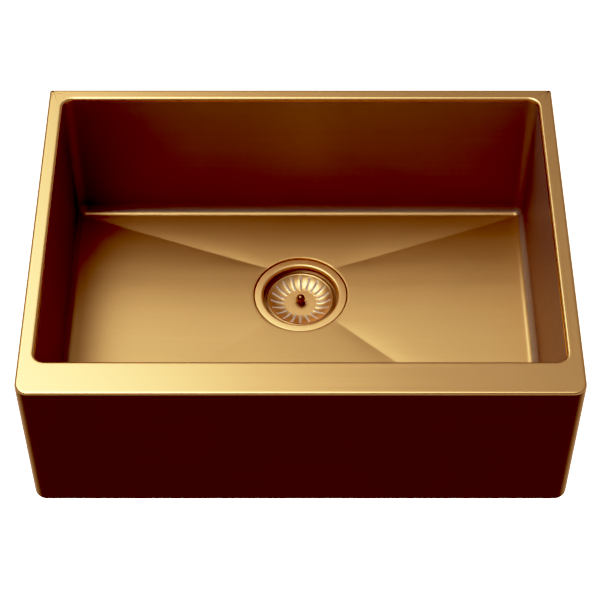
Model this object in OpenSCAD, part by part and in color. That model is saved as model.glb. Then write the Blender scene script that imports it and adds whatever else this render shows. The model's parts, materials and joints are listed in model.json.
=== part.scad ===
// Apron-front kitchen sink with a single bowl and a basket strainer waste.
// The sink hangs by its rim on the side panels of a 600 mm cabinet.
// z = 0 is the underside of the rim rails, which rest on the cabinet.
// x = 0, y = 0 is the centre of the rim's outline; the apron faces -Y.

/* [Sink] */
// Overall width, side to side
sink_w = 600; // [500:1:900]
// Overall depth, apron face to back edge
sink_d = 450; // [380:1:560]
// Height of the apron, rim top to lower edge
apron_h = 202; // [150:1:300]
// Depth of the bowl at the foot of its walls
bowl_h = 198; // [140:1:260]
// Thickness of the steel sheet
sheet_t = 1.2; // [0.8:0.1:2]

/* [Rim] */
// Width of the rim beside the bowl
rim_side = 17.5; // [14:0.5:80]
// Width of the rim behind the bowl
rim_back = 16.5; // [14:0.5:80]
// Width of the rim in front of the bowl
rim_front = 43; // [30:0.5:90]
// Height of the folded edge of the rim
rim_h = 15; // [10:0.5:30]
// Radius of the roll from the rim into the bowl
lip_r = 3; // [2:0.25:5]
// Radius of the folds along the rim's outer edges
edge_r = 3; // [2:0.25:5]
// Radius of the two front corners, seen from above
front_corner_r = 15; // [8:0.5:25]
// Clearance between a rail and the sheet beside it
rail_gap = 0.5; // [0.2:0.1:2]

/* [Bowl] */
// Radius of the bowl's upright corners and of the fillet round its floor
bowl_r = 12; // [8:0.5:20]
// Fall of the floor from its edges to the drain
floor_fall = 6; // [2:0.5:10]
// Distance of the drain's centre from the sink's back edge
drain_from_back = 150; // [110:1:260]

/* [Apron] */
// Depth of the returns at the sides of the apron
apron_return = 60; // [50:1:100]
// Width of the hem turned in along the apron's lower edge
hem_w = 12; // [8:0.5:14]
// Height of the brace behind the apron
brace_h = 60; // [30:1:90]
// Depth of the brace behind the apron
brace_depth = 20; // [8:0.5:30]
// Width of each flange of the brace
brace_flange = 15; // [8:1:25]
// Distance of the brace's ends from the apron's sides
brace_end_gap = 40; // [25:1:90]

/* [Cabinet brackets] */
// Clearance between the bowl's side and the cabinet side
cabinet_clear = 0.8; // [0.4:0.1:20]
// Thickness of the bracket steel
bracket_t = 1.8; // [1.2:0.1:3]
// Length of a bracket's arm along the cabinet side
bracket_arm = 80; // [60:1:110]
// Height of a bracket's arm
bracket_arm_h = 40; // [25:1:60]
// Drop from the bowl's lowest steel to the top of an arm
bracket_drop = 4; // [2:0.5:20]
// Height of the leg that is welded to the closing plate
bracket_leg_h = 40; // [20:1:60]
// Width of the screw slots
slot_w = 5.5; // [4:0.1:7]
// Length of the screw slots, end to end
slot_len = 12; // [8:0.5:18]
// Distance between a bracket's two slots
slot_pitch = 50; // [35:1:70]

/* [Sound pads] */
// Thickness of the sound-deadening pads
pad_t = 2.5; // [1:0.25:4]
// Length of the pads on the front and back walls
wall_pad_w = 380; // [200:5:420]
// Height of the pads on the front and back walls
wall_pad_h = 100; // [60:5:110]
// Length of the floor pads, wall to drain
floor_pad_l = 150; // [80:5:160]
// Width of the floor pads
floor_pad_w = 110; // [60:5:150]
// Thickness of the adhesive film behind a pad
film_t = 0.1; // [0.05:0.05:0.3]

/* [Earth tag] */
// Side of the earthing tag's two square leaves
tag_w = 14; // [12:0.5:20]
// Radius of the earthing hole
tag_hole_r = 2.15; // [1.6:0.05:3.2]
// Thickness of the earthing tag
tag_t = 1.5; // [1:0.1:3]
// Distance of the earthing tag from the sink's centre line
tag_x = 225; // [100:1:240]

/* [Strainer] */
// Radius of the round recess pressed into the floor
recess_r = 57.5; // [56:0.1:62]
// Depth of that recess
recess_h = 4; // [3:0.1:6]
// Radius of the drain hole in the recess
drain_hole_r = 47.8; // [47.5:0.1:49]
// Radius of the strainer's flange
flange_r = 56.6; // [54:0.1:57]
// Radius of the strainer's mouth
mouth_r = 45.5; // [45:0.1:46]
// Radius of the roll from the flange into the mouth
mouth_roll_r = 5.5; // [3:0.1:6]
// Thickness of the flange at its rim
flange_t = 1.8; // [1.3:0.1:2.4]
// Thickness of the strainer cup's sheet
cup_t = 1.0; // [0.8:0.1:1.2]
// Inner radius of the cup below its ledge
cup_r = 41; // [40:0.1:42]
// Depth of the ledge that the basket rests on
ledge_depth = 10; // [9.5:0.1:11]
// Depth of the cup's floor
cup_depth = 34; // [33.5:0.5:40]
// Number of drain holes round the outer ring of the cup's floor
outer_holes = 18; // [8:1:22]
// Number of drain holes round the inner ring of the cup's floor
inner_holes = 10; // [6:1:12]
// Radius of a drain hole
drain_r = 2.5; // [1.5:0.1:2.8]
// Thickness of the gasket under the flange
flange_gasket_t = 1.0; // [0.6:0.1:1.5]

/* [Basket] */
// Depth of the basket's hub plate below the floor
hub_depth = 17; // [16.5:0.1:18]
// Radius of the basket's flat hub plate
hub_r = 19.5; // [17:0.1:22]
// Radius of the basket's rim
basket_r = 43.5; // [43:0.1:44.5]
// Radius at which the basket's dish meets its flat rim
dish_rim_r = 39.6; // [38:0.1:39.8]
// Thickness of the basket's sheet
basket_t = 1.0; // [0.8:0.1:1.2]
// Number of slots round the basket
slots = 20; // [12:1:28]
// Width of a slot
basket_slot_w = 1.7; // [1:0.1:2.4]
// Radius at which the slots end
slot_end_r = 36.8; // [30:0.1:39]
// Radius of the basket's rolled bead
bead_r = 0.9; // [0.6:0.1:1.2]

/* [Plug] */
// Radius of the knob's ball
knob_r = 5.35; // [4.9:0.05:6.5]
// Height of the ball's centre above the hub plate
knob_rise = 8.5; // [8:0.1:12]
// Radius of the knob's neck
neck_r = 2.9; // [2.7:0.1:3.6]
// Radius of the stem
stem_r = 2.0; // [1.6:0.1:2.4]
// Radial clearance of the running fits
run_fit = 0.05; // [0.02:0.01:0.09]
// Radius of the bush in the hub
bush_r = 4.4; // [4:0.1:4.8]
// Radius of the bush's flange under the hub
bush_flange_r = 8; // [7:0.1:10]
// Height of the hub's boss, plate top to boss bottom
boss_h = 3; // [2:0.1:3.4]
// Radius of the rubber stopper
stopper_r = 34; // [31:0.1:38]
// Thickness of the rubber stopper
stopper_t = 2.6; // [2.3:0.1:3]
// Thickness of the plate on top of the stopper
plate_t = 1.2; // [0.8:0.1:1.4]
// Gap left under parts that rest on a seat
seat_gap = 0.1; // [0.05:0.05:0.3]

/* [Waste] */
// Radius of the clamp screw's shank
screw_r = 4; // [3.5:0.1:4.5]
// Radius of the clamp screw's head
screw_head_r = 8; // [7:0.1:9]
// Height of the clamp screw's head
screw_head_h = 2; // [1.5:0.1:2.2]
// Clear depth of the socket in the clamp screw
socket_h = 10; // [8:0.5:11]
// Clearance round the clamp screw's shank in the cup's floor
screw_clear = 0.3; // [0.1:0.05:0.6]
// Thickness of the gasket between bowl and waste body
body_gasket_t = 2; // [1:0.25:4]
// Radius of the waste body's flange
body_r = 57; // [54:0.1:60]
// Wall thickness of the waste body
body_t = 2.8; // [2:0.1:4]
// Thickness of the waste body's flange
body_flange_t = 3.4; // [2.5:0.1:5]
// Height of the funnel between the cup's housing and the outlet
funnel_h = 14; // [10:0.5:30]
// Depth of the spider that carries the insert
spider_h = 14; // [12:0.5:15]
// Height of the spider's foot above the funnel
spider_foot = 1; // [0.5:0.5:3]
// Number of arms on the spider
spider_arms = 3; // [3:1:6]
// Thickness of a spider arm
arm_t = 3; // [2:0.1:5]
// Outer radius of the brass insert
insert_r = 6.5; // [5.5:0.1:7]
// Height of the brass insert
insert_h = 10; // [8:0.5:11]
// Wall round the brass insert
insert_wall = 2.5; // [2:0.1:4]
// Outer radius of the outlet, a 1 1/2 inch pipe thread
outlet_r = 23.9; // [20:0.1:30]
// Length of the outlet
outlet_h = 24; // [18:0.5:50]

/* [Hidden] */
$fn = 96;

// A little extra so that a cut runs clean through
cut = 1;

// Sides of the bowl, anticlockwise from above
RIGHT = 0;
BACK = 1;
LEFT = 2;
FRONT = 3;

// Outline of the sink and of the bowl's inner faces, seen from above
outer_x = sink_w / 2;
outer_y = sink_d / 2;
bowl_x = outer_x - rim_side;
bowl_front = -outer_y + rim_front;
bowl_back = outer_y - rim_back;

// Levels of the sheet metal
rim_top = rim_h;
fold_z = rim_top - edge_r;
lip_z = rim_top - lip_r;
apron_bottom = rim_top - apron_h;
floor_edge_z = rim_top - bowl_h;
wall_foot = floor_edge_z + bowl_r;
drain_z = floor_edge_z - floor_fall;
drain_y = outer_y - drain_from_back;
return_y = -outer_y + apron_return;

// The flat floor runs from its fillet to a square that stands in the recess
floor_x = bowl_x - bowl_r;
floor_front = bowl_front + bowl_r;
floor_back = bowl_back - bowl_r;
drain_square = recess_r / sqrt(2);
steel_bottom = drain_z - recess_h - sheet_t;

// Levels of the strainer, measured from the floor round the drain
flange_bottom = -recess_h + flange_gasket_t;
flange_top = flange_bottom + flange_t;
roll_z = flange_top - mouth_roll_r;
gasket_top = -recess_h - sheet_t;
body_top = gasket_top - body_gasket_t;
cup_bottom = -cup_depth - cup_t;
boss_bottom = -hub_depth - boss_h;
bush_bottom = boss_bottom - 2;
stopper_bottom = -cup_depth + seat_gap;
plate_bottom = stopper_bottom + stopper_t;
screw_top = -cup_depth + screw_head_h;
spider_bottom = cup_bottom - spider_h;
house_bottom = spider_bottom - spider_foot;
outlet_top = house_bottom - funnel_h;
outlet_bottom = outlet_top - outlet_h;
house_r = drain_hole_r + seat_gap;

// The basket's dish is a round arc from the hub plate to the flat rim
basket_seat = -ledge_depth + seat_gap;
basket_top = basket_seat + basket_t;
dish_run = dish_rim_r - hub_r;
dish_rise = hub_depth + basket_top;
dish_r = (dish_run * dish_run + dish_rise * dish_rise) / (2 * dish_rise);

STEEL = [0.80, 0.58, 0.30];
STEEL_DARK = [0.55, 0.34, 0.16];
ZINC = [0.72, 0.73, 0.74];
PAD = [0.16, 0.16, 0.17];
RUBBER = [0.08, 0.08, 0.08];
PLASTIC = [0.90, 0.90, 0.88];
BRASS = [0.78, 0.62, 0.28];

// ---- shared shapes ----

// Moves its children to the centre of the drain, at the level of the floor
module at_drain() {
    translate([0, drain_y, drain_z]) children();
}

// Straight run of a profile: x points outwards along out_angle, y points up
module run(mid, length, out_angle) {
    translate([mid[0], mid[1], 0])
        rotate([90, 0, out_angle])
            linear_extrude(height = length, center = true) children();
}

// Quarter turn of the same profile about a corner's centre
module turn(centre, radius, start_angle) {
    translate([centre[0], centre[1], 0])
        rotate([0, 0, start_angle])
            rotate_extrude(angle = 90) translate([radius, 0]) children();
}

// Carries a profile round a rectangle with equal corners
module round_trip(x0, y0, x1, y1, r) {
    mid_x = (x0 + x1) / 2;
    mid_y = (y0 + y1) / 2;
    run([x1, mid_y], y1 - y0 - 2 * r, 0) children();
    run([mid_x, y1], x1 - x0 - 2 * r, 90) children();
    run([x0, mid_y], y1 - y0 - 2 * r, 180) children();
    run([mid_x, y0], x1 - x0 - 2 * r, 270) children();
    turn([x1 - r, y1 - r], r, 0) children();
    turn([x0 + r, y1 - r], r, 90) children();
    turn([x0 + r, y0 + r], r, 180) children();
    turn([x1 - r, y0 + r], r, 270) children();
}

// Plain rectangle between two corners
module rect(x0, y0, x1, y1) {
    translate([x0, y0]) square([x1 - x0, y1 - y0]);
}

// Section of a bend: a quarter ring about (cx, cy), in the quadrant that sx and sy point to
module bend(cx, cy, r_out, t, sx, sy) {
    translate([cx, cy]) intersection() {
        difference() {
            circle(r = r_out);
            circle(r = r_out - t);
        }
        translate([sx < 0 ? -r_out : 0, sy < 0 ? -r_out : 0]) square(r_out);
    }
}

// Outline of the rim, drawn in from its edge by inset
module rim_outline(inset) {
    x = outer_x - inset;
    y = outer_y - inset;
    r = front_corner_r - inset;
    rect(-x, -y + r, x, y);
    rect(-x + r, -y, x - r, -y + r);
    for (side = [-1, 1]) translate([side * (x - r), -y + r]) circle(r = r);
}

// Outline of the bowl, let out by grow
module bowl_outline(grow) {
    r = bowl_r + grow;
    rect(-bowl_x - grow, bowl_front - grow + r, bowl_x + grow, bowl_back + grow - r);
    rect(-bowl_x - grow + r, bowl_front - grow, bowl_x + grow - r, bowl_back + grow);
    for (x = [-1, 1], y = [bowl_front + bowl_r, bowl_back - bowl_r])
        translate([x * (bowl_x - bowl_r), y]) circle(r = r);
}

// Section of a skirt that is folded down from the rim's edge to a given level
module skirt_section(bottom) {
    rect(-sheet_t, bottom, 0, fold_z);
    bend(-edge_r, fold_z, edge_r, sheet_t, 1, 1);
}

// One side's share of the plan, cut along the mitres at the bowl's corners
module side_plan(side) {
    reach = max(rim_side, rim_back, rim_front) + bowl_r + cut;
    inner = [[floor_x, floor_front], [floor_x, floor_back], [-floor_x, floor_back], [-floor_x, floor_front]];
    outer = [for (p = inner) [p[0] + sign(p[0]) * reach, p[1] + (p[1] == floor_back ? reach : -reach)]];
    next = (side + 1) % 4;
    polygon([inner[side], outer[side], outer[next], inner[next]]);
}

// Keeps one side's share of its children
module one_side(side) {
    intersection() {
        children();
        translate([0, 0, apron_bottom]) linear_extrude(height = apron_h + cut) side_plan(side);
    }
}

// ---- sheet metal ----

// Flat rim with its roll into the bowl and its folded back and side edges
module rim() {
    color(STEEL) {
        translate([0, 0, rim_top - sheet_t])
            linear_extrude(height = sheet_t) difference() {
                rim_outline(edge_r);
                bowl_outline(lip_r);
            }
        round_trip(-bowl_x, bowl_front, bowl_x, bowl_back, bowl_r)
            bend(lip_r, lip_z, lip_r, sheet_t, -1, 1);
        side_l = outer_y - edge_r - return_y;
        for (side = [-1, 1])
            run([side * outer_x, (outer_y - edge_r + return_y) / 2], side_l, side > 0 ? 0 : 180)
                skirt_section(0);
        run([0, outer_y], sink_w - 2 * edge_r, 90) skirt_section(0);
        turn([outer_x - edge_r, outer_y - edge_r], edge_r, 0) skirt_section(0);
        turn([-outer_x + edge_r, outer_y - edge_r], edge_r, 90) skirt_section(0);
    }
}

module rim_right() {
    one_side(RIGHT) rim();
}

module rim_back() {
    one_side(BACK) rim();
}

module rim_left() {
    one_side(LEFT) rim();
}

module rim_front() {
    one_side(FRONT) rim();
}

// Floor plate that falls in four flat facets to a square round the drain
module floor_plate() {
    top = [
        [-floor_x, floor_front, floor_edge_z], [floor_x, floor_front, floor_edge_z],
        [floor_x, floor_back, floor_edge_z], [-floor_x, floor_back, floor_edge_z],
        [-drain_square, drain_y - drain_square, drain_z], [drain_square, drain_y - drain_square, drain_z],
        [drain_square, drain_y + drain_square, drain_z], [-drain_square, drain_y + drain_square, drain_z]
    ];
    under = [for (p = top) p - [0, 0, sheet_t]];
    sides = [for (i = [0:3]) [i, 4 + i, 4 + (i + 1) % 4, (i + 1) % 4]];
    polyhedron(
        points = concat(top, under),
        faces = concat(
            sides,
            [[7, 6, 5, 4]],
            [for (s = sides) [s[3] + 8, s[2] + 8, s[1] + 8, s[0] + 8]],
            [[12, 13, 14, 15]],
            [for (i = [0:3]) [(i + 1) % 4, (i + 1) % 4 + 8, i + 8, i]]
        )
    );
}

// Band of upright walls with rounded corners
module bowl_walls() {
    color(STEEL) round_trip(-bowl_x, bowl_front, bowl_x, bowl_back, bowl_r)
        rect(0, wall_foot, sheet_t, lip_z);
}

module wall_right() {
    one_side(RIGHT) bowl_walls();
}

module wall_back() {
    one_side(BACK) bowl_walls();
}

module wall_left() {
    one_side(LEFT) bowl_walls();
}

module wall_front() {
    one_side(FRONT) bowl_walls();
}

// Floor panel with its filleted edge, pressed recess and drain hole
module bowl_floor() {
    color(STEEL) {
        round_trip(-bowl_x, bowl_front, bowl_x, bowl_back, bowl_r)
            bend(-bowl_r, wall_foot, bowl_r + sheet_t, sheet_t, 1, -1);
        difference() {
            union() {
                floor_plate();
                at_drain() translate([0, 0, gasket_top])
                    cylinder(r = recess_r + sheet_t, h = recess_h + sheet_t / 2);
            }
            at_drain() {
                translate([0, 0, -recess_h]) cylinder(r = recess_r, h = recess_h + floor_fall);
                translate([0, 0, gasket_top - cut]) cylinder(r = drain_hole_r, h = recess_h + sheet_t + cut);
            }
        }
    }
}

// Apron: front skirt with rounded corners, side returns and a hem turned in below
module apron() {
    corner_y = -outer_y + front_corner_r;
    color(STEEL) {
        run([0, -outer_y], sink_w - 2 * front_corner_r, 270) apron_section();
        for (side = [-1, 1]) {
            run([side * outer_x, (corner_y + return_y) / 2], return_y - corner_y, side > 0 ? 0 : 180)
                apron_section();
            turn([side * (outer_x - front_corner_r), corner_y], front_corner_r, side > 0 ? 270 : 180)
                apron_section();
        }
    }
}

// Section of the apron, with the hem at its foot
module apron_section() {
    hem_bend = edge_r;
    skirt_section(apron_bottom + hem_bend);
    bend(-hem_bend, apron_bottom + hem_bend, hem_bend, sheet_t, 1, -1);
    rect(-hem_w, apron_bottom, -hem_bend, apron_bottom + sheet_t);
}

// Rail under the rim's sides and back, whose underside rests on the cabinet
module rim_rail() {
    inner_x = bowl_x + lip_r + rail_gap;
    inner_y = bowl_back + lip_r + rail_gap;
    rail_x = outer_x - sheet_t;
    rail_y = outer_y - sheet_t;
    r = edge_r - sheet_t;
    color(ZINC) linear_extrude(height = fold_z) difference() {
        union() {
            rect(-rail_x, return_y, rail_x, rail_y - r);
            rect(-rail_x + r, return_y, rail_x - r, rail_y);
            for (side = [-1, 1]) translate([side * (rail_x - r), rail_y - r]) circle(r = r);
        }
        rect(-inner_x, return_y - cut, inner_x, inner_y);
    }
}

// Hat-section brace spot-welded behind the apron
module apron_brace() {
    length = sink_w - 2 * brace_end_gap;
    mid_z = (rim_top + apron_bottom) / 2;
    half = brace_h / 2;
    face_y = -outer_y + sheet_t;
    color(ZINC) translate([0, face_y, mid_z]) rotate([90, 0, 90])
        linear_extrude(height = length, center = true) {
            rect(0, half - brace_flange, sheet_t, half);
            rect(0, -half, sheet_t, -half + brace_flange);
            for (side = [-1, 1]) translate([0, side * (half - brace_flange)])
                rect(0, -sheet_t / 2, brace_depth, sheet_t / 2);
            rect(brace_depth - sheet_t, -half + brace_flange, brace_depth, half - brace_flange);
        }
}

// Plate that closes the gap between an apron return and the bowl; side is -1 or 1
module closer(side) {
    bottom = apron_bottom + edge_r;
    wall_x = outer_x - sheet_t;
    flange_l = apron_return / 3;
    color(STEEL_DARK) translate([0, 0, bottom]) linear_extrude(height = -bottom) mirror([side < 0 ? 1 : 0, 0]) {
        rect(bowl_x + sheet_t, return_y - sheet_t, wall_x, return_y);
        rect(wall_x - sheet_t, return_y - flange_l, wall_x, return_y);
    }
}

module closer_left() {
    closer(-1);
}

module closer_right() {
    closer(1);
}

// Slot for a screw, cut along X through a bracket's arm
module screw_slot() {
    travel = (slot_len - slot_w) / 2;
    rotate([0, 90, 0]) {
        for (end = [-1, 1]) translate([0, end * travel, 0])
            cylinder(d = slot_w, h = 2 * bracket_t + cut, center = true);
        cube([slot_w, 2 * travel, 2 * bracket_t + cut], center = true);
    }
}

// Bracket that steadies the apron: a leg on the closing plate and a slotted arm along the cabinet side
module bracket(side) {
    wall_x = bowl_x + sheet_t;
    face_x = wall_x + cabinet_clear;
    leg_x = outer_x - 2 * sheet_t;
    arm_top = steel_bottom - bracket_drop;
    arm_bottom = arm_top - bracket_arm_h;
    leg_top = apron_bottom + sheet_t + bracket_leg_h;
    color(ZINC) mirror([side < 0 ? 1 : 0, 0, 0]) {
        translate([wall_x + rail_gap, return_y, arm_bottom])
            cube([leg_x - wall_x - rail_gap, bracket_t, leg_top - arm_bottom]);
        translate([face_x - bracket_t, return_y, arm_bottom])
            cube([leg_x - face_x + bracket_t, bracket_t, bracket_arm_h]);
        difference() {
            translate([face_x - bracket_t, return_y, arm_bottom])
                cube([bracket_t, bracket_arm, bracket_arm_h]);
            translate([face_x, return_y + bracket_arm / 2, arm_top - bracket_arm_h / 2])
                for (end = [-1, 1]) translate([0, end * slot_pitch / 2, 0]) screw_slot();
        }
    }
}

module bracket_left() {
    bracket(-1);
}

module bracket_right() {
    bracket(1);
}

// ---- sound pads and earthing ----

// Upright pad whose near face lies at y, on a wall that faces +Y (dir 1) or -Y (dir -1)
module wall_pad(y, dir) {
    mid_z = (floor_edge_z + bowl_r - edge_r) / 2;
    color(PAD) translate([-wall_pad_w / 2, dir > 0 ? y + film_t : y - film_t - pad_t, mid_z - wall_pad_h / 2])
        cube([wall_pad_w, pad_t, wall_pad_h]);
}

module pad_front() {
    wall_pad(bowl_front - sheet_t, -1);
}

module pad_back() {
    wall_pad(bowl_back + sheet_t, 1);
}

// Pad under a side facet of the floor, tilted as the facet is
module pad_floor_side(side) {
    fall_angle = atan(floor_fall / (floor_x - drain_square));
    inset = bowl_r;
    color(PAD) mirror([side < 0 ? 1 : 0, 0, 0])
        translate([floor_x, drain_y, floor_edge_z - sheet_t - film_t])
            rotate([0, -fall_angle, 0])
                translate([-inset - floor_pad_l, -floor_pad_w / 2, -pad_t])
                    cube([floor_pad_l, floor_pad_w, pad_t]);
}

module pad_floor_left() {
    pad_floor_side(-1);
}

module pad_floor_right() {
    pad_floor_side(1);
}

// Pad under the front facet of the floor
module pad_floor_front() {
    run_y = drain_y - drain_square - floor_front;
    fall_angle = atan(floor_fall / run_y);
    color(PAD) translate([0, floor_front, floor_edge_z - sheet_t - film_t])
        rotate([-fall_angle, 0, 0])
            translate([-floor_pad_w, bowl_r, -pad_t])
                cube([2 * floor_pad_w, min(floor_pad_l, run_y - recess_r), pad_t]);
}

// Angle tag with the earthing hole, on the front wall behind the apron
module earth_tag() {
    wall_y = bowl_front - sheet_t;
    tag_z = floor_edge_z + bowl_r;
    color(ZINC) difference() {
        union() {
            translate([tag_x - tag_w / 2, wall_y - tag_t, tag_z]) cube([tag_w, tag_t, tag_w]);
            translate([tag_x - tag_w / 2, wall_y - tag_w, tag_z]) cube([tag_w, tag_w, tag_t]);
        }
        translate([tag_x, wall_y - (tag_w + tag_t) / 2, tag_z - cut])
            cylinder(r = tag_hole_r, h = tag_t + 2 * cut);
    }
}

// ---- strainer and waste, drawn from the floor round the drain ----

// Ring between two radii and two levels
module ring(r_in, r_out, bottom, top) {
    difference() {
        translate([0, 0, bottom]) cylinder(r = r_out, h = top - bottom);
        translate([0, 0, bottom - cut]) cylinder(r = r_in, h = top - bottom + 2 * cut);
    }
}

// Circle of round drain holes through the cup's floor
module hole_ring(count, radius) {
    for (i = [0 : count - 1])
        rotate([0, 0, i * 360 / count]) translate([radius, 0, cup_bottom - cut])
            cylinder(r = drain_r, h = cup_t + 2 * cut, $fn = 24);
}

// Strainer cup: flange, mouth, ledge for the basket and pierced floor
module strainer_cup() {
    roll_x = mouth_r + mouth_roll_r;
    color(STEEL) at_drain() difference() {
        rotate_extrude() {
            rect(roll_x, flange_bottom, flange_r, flange_top);
            bend(roll_x, roll_z, mouth_roll_r, cup_t, -1, 1);
            rect(mouth_r, -ledge_depth - cup_t, mouth_r + cup_t, roll_z);
            rect(cup_r, -ledge_depth - cup_t, mouth_r + cup_t, -ledge_depth);
            rect(cup_r, cup_bottom, cup_r + cup_t, -ledge_depth);
            rect(0, cup_bottom, cup_r + cup_t, -cup_depth);
        }
        hole_ring(outer_holes, stopper_r - 3 * drain_r);
        hole_ring(inner_holes, screw_head_r + 3 * drain_r);
        translate([0, 0, cup_bottom - cut]) cylinder(r = screw_r + screw_clear, h = cup_t + 2 * cut);
    }
}

// Gasket in the recess, under the flat part of the strainer's flange
module flange_gasket() {
    inner_r = max(drain_hole_r, mouth_r + mouth_roll_r) + seat_gap;
    color(RUBBER) at_drain() ring(inner_r, flange_r - cup_t, -recess_h, flange_bottom);
}

// Gasket between the bowl and the waste housing
module body_gasket() {
    color(RUBBER) at_drain() ring(house_r, body_r - cup_t, body_top, gasket_top);
}

// Housing round the strainer cup, with the flange that is drawn up against the bowl
module waste_housing() {
    color(PLASTIC) at_drain() rotate_extrude() polygon([
        [house_r, body_top], [body_r, body_top],
        [body_r, body_top - body_flange_t], [house_r + body_t, body_top - body_flange_t],
        [house_r + body_t, house_bottom], [house_r, house_bottom]
    ]);
}

// Funnel below the housing, and the outlet that the trap screws onto
module waste_outlet() {
    bore_r = outlet_r - body_t;
    color(PLASTIC) at_drain() rotate_extrude() polygon([
        [house_r, house_bottom], [house_r + body_t, house_bottom],
        [outlet_r, outlet_top], [outlet_r, outlet_bottom],
        [bore_r, outlet_bottom], [bore_r, outlet_top]
    ]);
}

// Spider in the housing: a boss for the insert, carried by arms from a ring
module spider() {
    boss_r = insert_r + insert_wall;
    arm_start = insert_r + insert_wall / 2;
    arm_end = house_r - arm_t / 2;
    arm_bottom = spider_bottom + spider_foot;
    arm_top = cup_bottom - spider_foot;
    color(PLASTIC) at_drain() {
        ring(insert_r, boss_r, spider_bottom, cup_bottom);
        ring(house_r - arm_t, house_r, spider_bottom, cup_bottom);
        for (i = [0 : spider_arms - 1]) rotate([0, 0, 90 + i * 360 / spider_arms])
            translate([arm_start, -arm_t / 2, arm_bottom])
                cube([arm_end - arm_start, arm_t, arm_top - arm_bottom]);
    }
}

// Brass insert in the spider, bored for the clamp screw
module insert() {
    color(BRASS) at_drain() ring(screw_r + run_fit, insert_r, spider_bottom, spider_bottom + insert_h);
}

// Clamp screw that draws cup and waste body together, with a socket for the stem
module clamp_screw() {
    socket_r = stem_r + run_fit;
    color(ZINC) at_drain() difference() {
        union() {
            translate([0, 0, -cup_depth]) cylinder(r = screw_head_r, h = screw_head_h);
            translate([0, 0, spider_bottom]) cylinder(r = screw_r, h = -cup_depth - spider_bottom);
        }
        translate([0, 0, screw_top - socket_h]) cylinder(r = socket_r, h = socket_h + cut);
    }
}

// ---- basket and plug ----

// Bush that carries the basket and guides the stem
module bush() {
    color(PLASTIC) at_drain() difference() {
        union() {
            translate([0, 0, bush_bottom]) cylinder(r = bush_r, h = -hub_depth - bush_bottom);
            translate([0, 0, bush_bottom]) cylinder(r = bush_flange_r, h = boss_bottom - seat_gap - bush_bottom);
        }
        translate([0, 0, bush_bottom - cut]) cylinder(r = stem_r + run_fit, h = hub_depth);
    }
}

// Basket: flat hub plate, slotted dish and flat rim with a bead
module basket() {
    hub_under = hub_depth + basket_t;
    dish_z = -hub_depth + dish_r;
    color(STEEL) at_drain() difference() {
        rotate_extrude() {
            rect(0, -hub_under, hub_r, -hub_depth);
            rect(0, boss_bottom, bush_flange_r, -hub_depth);
            intersection() {
                translate([hub_r, dish_z]) difference() {
                    circle(r = dish_r + basket_t, $fn = 240);
                    circle(r = dish_r, $fn = 240);
                }
                rect(hub_r, -hub_under, dish_rim_r + basket_t, basket_top);
            }
            rect(dish_rim_r, basket_seat, basket_r - bead_r, basket_top);
            translate([basket_r - bead_r, basket_seat + bead_r]) circle(r = bead_r, $fn = 32);
        }
        translate([0, 0, boss_bottom - cut]) cylinder(r = bush_r + run_fit, h = hub_depth);
        for (i = [0 : slots - 1]) rotate([0, 0, 90 + i * 360 / slots])
            translate([hub_r + basket_t, -basket_slot_w / 2, -hub_under - cut])
                cube([slot_end_r - hub_r - basket_t, basket_slot_w, hub_under]);
    }
}

module stem() {
    foot = screw_top - socket_h + 2;
    color(ZINC) at_drain() translate([0, 0, foot])
        cylinder(r = stem_r, h = -hub_depth + knob_rise - knob_r / 2 - foot);
}

// Knob: ball on a short neck, bored for the stem
module knob() {
    ball_z = -hub_depth + knob_rise;
    neck_bottom = -hub_depth + seat_gap;
    color(STEEL_DARK) at_drain() difference() {
        union() {
            translate([0, 0, ball_z]) sphere(r = knob_r);
            translate([0, 0, neck_bottom]) cylinder(r = neck_r, h = ball_z - neck_bottom);
        }
        translate([0, 0, neck_bottom - cut]) cylinder(r = stem_r, h = ball_z - knob_r / 2 - neck_bottom + cut);
    }
}

module stopper() {
    color(RUBBER) at_drain() ring(screw_head_r + seat_gap + 0.4, stopper_r, stopper_bottom, plate_bottom);
}

module stopper_plate() {
    color(STEEL_DARK) at_drain() ring(stem_r, stopper_r - 4, plate_bottom, plate_bottom + plate_t);
}

rim_right();
rim_back();
rim_left();
rim_front();
wall_right();
wall_back();
wall_left();
wall_front();
bowl_floor();
apron();
rim_rail();
apron_brace();
closer_left();
closer_right();
bracket_left();
bracket_right();
pad_front();
pad_back();
pad_floor_left();
pad_floor_right();
pad_floor_front();
earth_tag();
strainer_cup();
flange_gasket();
body_gasket();
waste_housing();
waste_outlet();
spider();
insert();
clamp_screw();
bush();
basket();
stem();
knob();
stopper();
stopper_plate();
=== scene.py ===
"""Visual model of an apron-front kitchen sink with its basket strainer waste.

Lengths are in metres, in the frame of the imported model: the rim rails' underside
is z = 0, the apron faces -Y, and the drain lies behind the middle of the bowl.
"""
from __future__ import annotations

import json
import logging
import math
from dataclasses import dataclass, field, replace
from enum import Enum
from typing import Callable, Iterable, Sequence

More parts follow.
